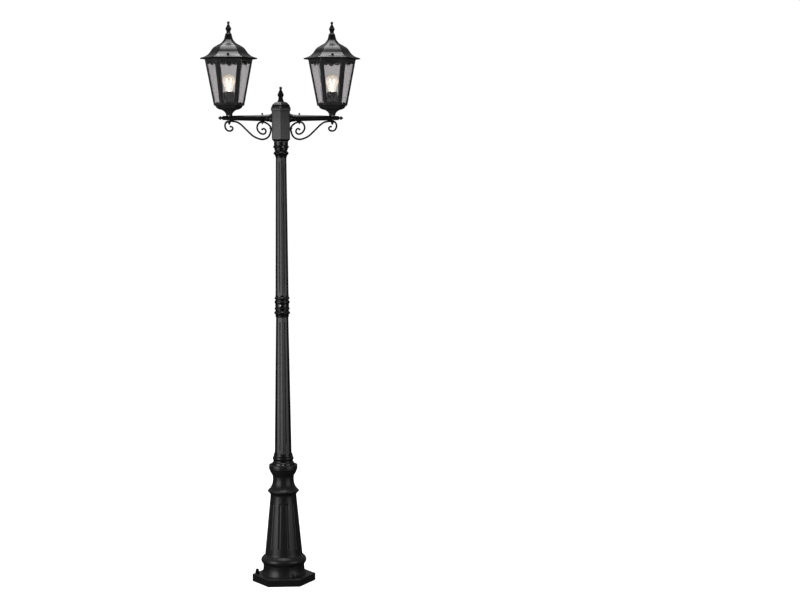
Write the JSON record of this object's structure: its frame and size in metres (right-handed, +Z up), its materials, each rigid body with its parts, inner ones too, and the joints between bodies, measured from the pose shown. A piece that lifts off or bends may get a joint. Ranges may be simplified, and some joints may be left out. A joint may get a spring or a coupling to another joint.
{
  "type": "street lamp post",
  "caption": "Garden lamp post with a fluted pedestal, grooved octagonal shafts, scrolled arms and hexagonal glazed lanterns on a bolted base plate.",
  "frame": {"origin": "centre of the base plate's underside", "axes": "+Z up along the post, +X towards the right lantern, -Y towards the viewer"},
  "size_m": [0.6358, 0.2208, 2.2496],
  "materials": {
    "black_coat": "satin black fine-textured powder coat on cast and drawn aluminium",
    "cast_iron_black": "cast iron, satin black powder coat",
    "black_fixings": "black coated steel fixings",
    "bright_screws": "bright stainless steel",
    "brass": "plain brass",
    "rubber_black": "matt black rubber",
    "plastic_black": "matt black moulded plastic",
    "terminal_ivory": "ivory moulded plastic",
    "pane_glass": "lightly smoked rippled glass",
    "bulb_glass": "clear bulb glass",
    "bulb_metal": "pressed screw cap",
    "filament_glow": "glowing warm white filaments on a glass mount"
  },
  "bodies": {
    "post": {"base_plate": "cast_iron_black", "anchor_nuts": "black_fixings", "anchor_washers": "black_fixings", "cable_grommet": "rubber_black", "cable_connector": "plastic_black", "feed_cable": "plastic_black", "pedestal": "black_coat", "cup_screws": "bright_screws", "lower_ferrule": "black_coat", "lower_shaft": "black_coat", "joint_sleeve": "bright_screws", "middle_collar": "black_coat", "middle_collar_screws": "bright_screws", "upper_shaft": "black_coat", "top_collar": "black_coat", "top_collar_screws": "bright_screws", "head_box": "black_coat", "head_gasket": "rubber_black", "terminal_block": "terminal_ivory", "terminal_screws": "brass", "left_arm": "black_coat", "right_arm": "black_coat", "arm_tips": "black_coat", "arm_nuts": "bright_screws", "arm_straps": "black_coat", "left_scroll": "black_coat", "right_scroll": "black_coat", "scroll_screws": "black_fixings", "stem_nuts": "black_fixings", "lantern_leads": "plastic_black", "left_stem": "bright_screws", "right_stem": "bright_screws", "left_bowl": "black_coat", "right_bowl": "black_coat", "left_corner_posts": "black_coat", "right_corner_posts": "black_coat", "left_panes": "pane_glass", "right_panes": "pane_glass", "left_lower_valance": "black_coat", "right_lower_valance": "black_coat", "left_top_rim": "black_coat", "right_top_rim": "black_coat", "left_lampholder": "plastic_black", "right_lampholder": "plastic_black", "left_holder_contacts": "brass", "right_holder_contacts": "brass"},
    "head_cap_body": {"head_cap": "black_coat", "head_finial": "black_coat"},
    "left_bulb": {"left_bulb_cap": "bulb_metal", "left_bulb_glass": "bulb_glass", "left_filaments": "filament_glow"},
    "right_bulb": {"right_bulb_cap": "bulb_metal", "right_bulb_glass": "bulb_glass", "right_filaments": "filament_glow"},
    "left_roof_body": {"left_roof": "black_coat", "left_roof_nuts": "black_fixings", "left_roof_finial": "black_coat"},
    "right_roof_body": {"right_roof": "black_coat", "right_roof_nuts": "black_fixings", "right_roof_finial": "black_coat"}
  },
  "joints": [
    {"name": "head_cap_lift", "type": "slide", "parent": "post", "child": "head_cap_body", "axis": [0, 0, 1], "range_m": [0, 0.08]},
    {"name": "left_roof_lift", "type": "slide", "parent": "post", "child": "left_roof_body", "axis": [0, 0, 1], "range_m": [0, 0.12]},
    {"name": "right_roof_lift", "type": "slide", "parent": "post", "child": "right_roof_body", "axis": [0, 0, 1], "range_m": [0, 0.12]},
    {"name": "left_bulb_slide", "type": "slide", "parent": "post", "child": "left_bulb", "axis": [0, 0, 1], "range_m": [0, 0.03]},
    {"name": "right_bulb_slide", "type": "slide", "parent": "post", "child": "right_bulb", "axis": [0, 0, 1], "range_m": [0, 0.03]}
  ]
}
